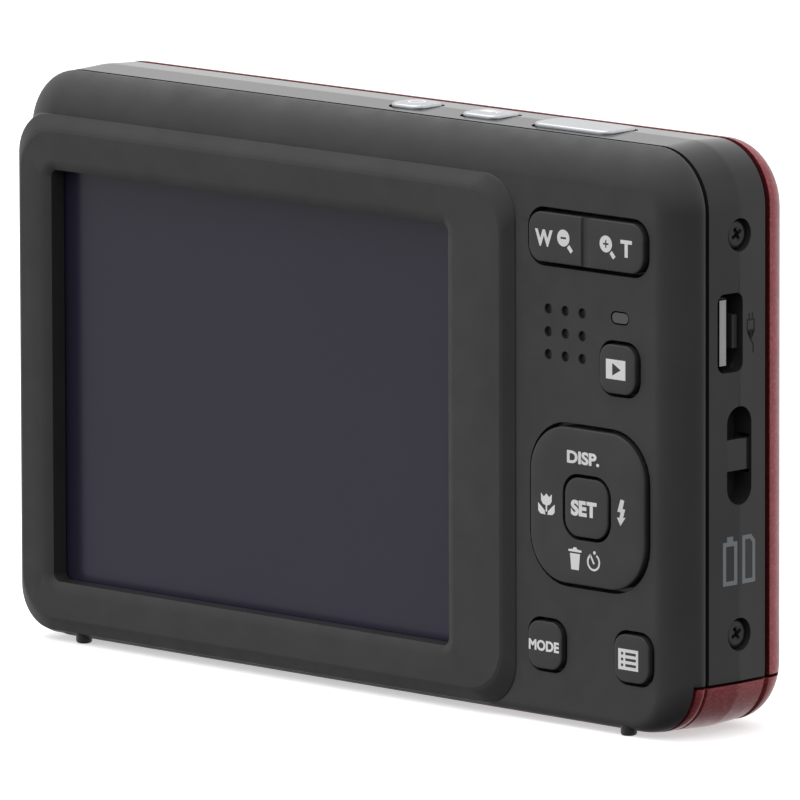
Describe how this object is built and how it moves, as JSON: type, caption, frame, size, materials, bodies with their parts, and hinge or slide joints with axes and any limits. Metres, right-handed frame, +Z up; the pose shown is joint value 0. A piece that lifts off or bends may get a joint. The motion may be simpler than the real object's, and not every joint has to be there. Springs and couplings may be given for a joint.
{
  "type": "compact digital camera",
  "caption": "Pocket digital camera with a retracting zoom lens, rear screen, grip-side controls and a hinged battery door.",
  "frame": {"origin": "centre of the camera's box, at the level its feet stand on", "axes": "+X to the far side from the grip (the grip is on -X), +Y out of the screen, -Y along the lens axis, +Z up"},
  "size_m": [0.0912, 0.022, 0.0573],
  "materials": {
    "matte_black": "fine matte moulded",
    "button_black": "fine matte moulded",
    "legend_white": "printed",
    "gloss_black": "polished",
    "inner_black": "moulded",
    "screen": "clear window over a dark display",
    "red_metal": "metallic lacquer",
    "silver": "satin plated",
    "barrel_grey": "anodised, fine turned",
    "dark_steel": "blackened",
    "steel": "stamped",
    "glass": "polished",
    "board_green": "solder mask",
    "white_plastic": "translucent",
    "battery_grey": "moulded",
    "orange": "moulded",
    "brass": "turned"
  },
  "bodies": {
    "body": {"back_cover": "matte_black", "screen_window": "screen", "lcd_panel": "inner_black", "display_plate": "steel", "mid_frame": "gloss_black", "front_cover": "red_metal", "lens_trim_ring": "red_metal", "lens_housing": "inner_black", "focus_lens_cell": "inner_black", "focus_lens": "glass", "image_sensor": "glass", "sensor_board": "board_green", "zoom_motor": "steel", "status_lamp": "white_plastic", "speaker": "dark_steel", "usb_shell": "steel", "usb_tongue": "inner_black", "strap_bar": "gloss_black", "side_screw_grip_upper": "dark_steel", "side_screw_grip_lower": "dark_steel", "side_screw_far_upper": "dark_steel", "side_screw_far_lower": "dark_steel", "bottom_screw_1": "dark_steel", "bottom_screw_2": "dark_steel", "battery_bay": "inner_black", "battery": "battery_grey", "card_slot": "steel", "memory_card": "battery_grey", "door_hinge_pin": "steel", "main_board": "board_green", "keypad_board": "board_green", "top_board": "board_green", "flash_window": "glass", "flash_reflector": "steel", "flash_tube": "glass", "flash_capacitor": "inner_black", "focus_lamp": "orange", "tripod_bush": "brass"},
    "lens_outer": {"outer_barrel": "barrel_grey"},
    "lens_inner": {"inner_barrel": "barrel_grey", "lens_front_ring": "inner_black", "front_lens": "glass"},
    "blade_upper": {"barrier_blade_upper": "dark_steel"},
    "blade_lower": {"barrier_blade_lower": "dark_steel"},
    "power": {"power_button": "silver"},
    "video": {"video_button": "silver"},
    "shutter": {"shutter_button": "silver"},
    "rocker": {"zoom_rocker": "button_black"},
    "play": {"play_button": "button_black"},
    "pad_tilt": {"pad_carrier": "white_plastic"},
    "pad": {"pad_ring": "button_black"},
    "set": {"set_button": "button_black"},
    "mode": {"mode_button": "button_black"},
    "menu": {"menu_button": "button_black"},
    "lock": {"battery_lock": "orange"},
    "door": {"battery_door": "red_metal"}
  },
  "joints": [
    {"name": "lens_extend", "type": "slide", "parent": "body", "child": "lens_outer", "axis": [0, -1, 0], "range_m": [0, 0.008]},
    {"name": "lens_inner_extend", "type": "slide", "parent": "lens_outer", "child": "lens_inner", "axis": [0, -1, 0], "range_m": [0, 0.008]},
    {"name": "blade_upper_open", "type": "hinge", "parent": "lens_inner", "child": "blade_upper", "pos_m": [-0.0025, -0.0101, 0.02875], "axis": [0, -1, 0], "range_deg": [0, 36]},
    {"name": "blade_lower_open", "type": "hinge", "parent": "lens_inner", "child": "blade_lower", "pos_m": [0.0205, -0.0101, 0.02625], "axis": [0, -1, 0], "range_deg": [0, 36]},
    {"name": "power_press", "type": "slide", "parent": "body", "child": "power", "axis": [0, 0, -1], "range_m": [0, 0.00035], "stiffness_N_per_m": 500},
    {"name": "video_press", "type": "slide", "parent": "body", "child": "video", "axis": [0, 0, -1], "range_m": [0, 0.00035], "stiffness_N_per_m": 500},
    {"name": "shutter_press", "type": "slide", "parent": "body", "child": "shutter", "axis": [0, 0, -1], "range_m": [0, 0.00035], "stiffness_N_per_m": 500},
    {"name": "zoom_tilt", "type": "hinge", "parent": "body", "child": "rocker", "pos_m": [-0.0328, 0.008, 0.0472], "axis": [0, 0, 1], "range_deg": [-1.9, 1.9], "stiffness_Nm_per_rad": 0.02},
    {"name": "play_press", "type": "slide", "parent": "body", "child": "play", "axis": [0, -1, 0], "range_m": [0, 0.00035], "stiffness_N_per_m": 500},
    {"name": "pad_left_right", "type": "hinge", "parent": "body", "child": "pad_tilt", "pos_m": [-0.03295, 0.008, 0.0216], "axis": [0, 0, 1], "range_deg": [-1.9, 1.9], "stiffness_Nm_per_rad": 0.02},
    {"name": "pad_up_down", "type": "hinge", "parent": "pad_tilt", "child": "pad", "pos_m": [-0.03295, 0.008, 0.0216], "axis": [1, 0, 0], "range_deg": [-1.9, 1.9], "stiffness_Nm_per_rad": 0.02},
    {"name": "set_press", "type": "slide", "parent": "body", "child": "set", "axis": [0, -1, 0], "range_m": [0, 0.00035], "stiffness_N_per_m": 500},
    {"name": "mode_press", "type": "slide", "parent": "body", "child": "mode", "axis": [0, -1, 0], "range_m": [0, 0.00035], "stiffness_N_per_m": 500},
    {"name": "menu_press", "type": "slide", "parent": "body", "child": "menu", "axis": [0, -1, 0], "range_m": [0, 0.00035], "stiffness_N_per_m": 500},
    {"name": "battery_lock_slide", "type": "slide", "parent": "body", "child": "lock", "axis": [0, 1, 0], "range_m": [0, 0.0012], "stiffness_N_per_m": 300},
    {"name": "battery_door_open", "type": "hinge", "parent": "body", "child": "door", "pos_m": [-0.0132, 0.0025, 0.0015], "axis": [0, -1, 0], "range_deg": [0, 85]}
  ],
  "couplings": [
    {"joint": "lens_inner_extend", "follows": "lens_extend", "ratio": 1},
    {"joint": "blade_upper_open", "follows": "lens_extend", "rad_per_m": 78.5},
    {"joint": "blade_lower_open", "follows": "lens_extend", "rad_per_m": 78.5}
  ]
}
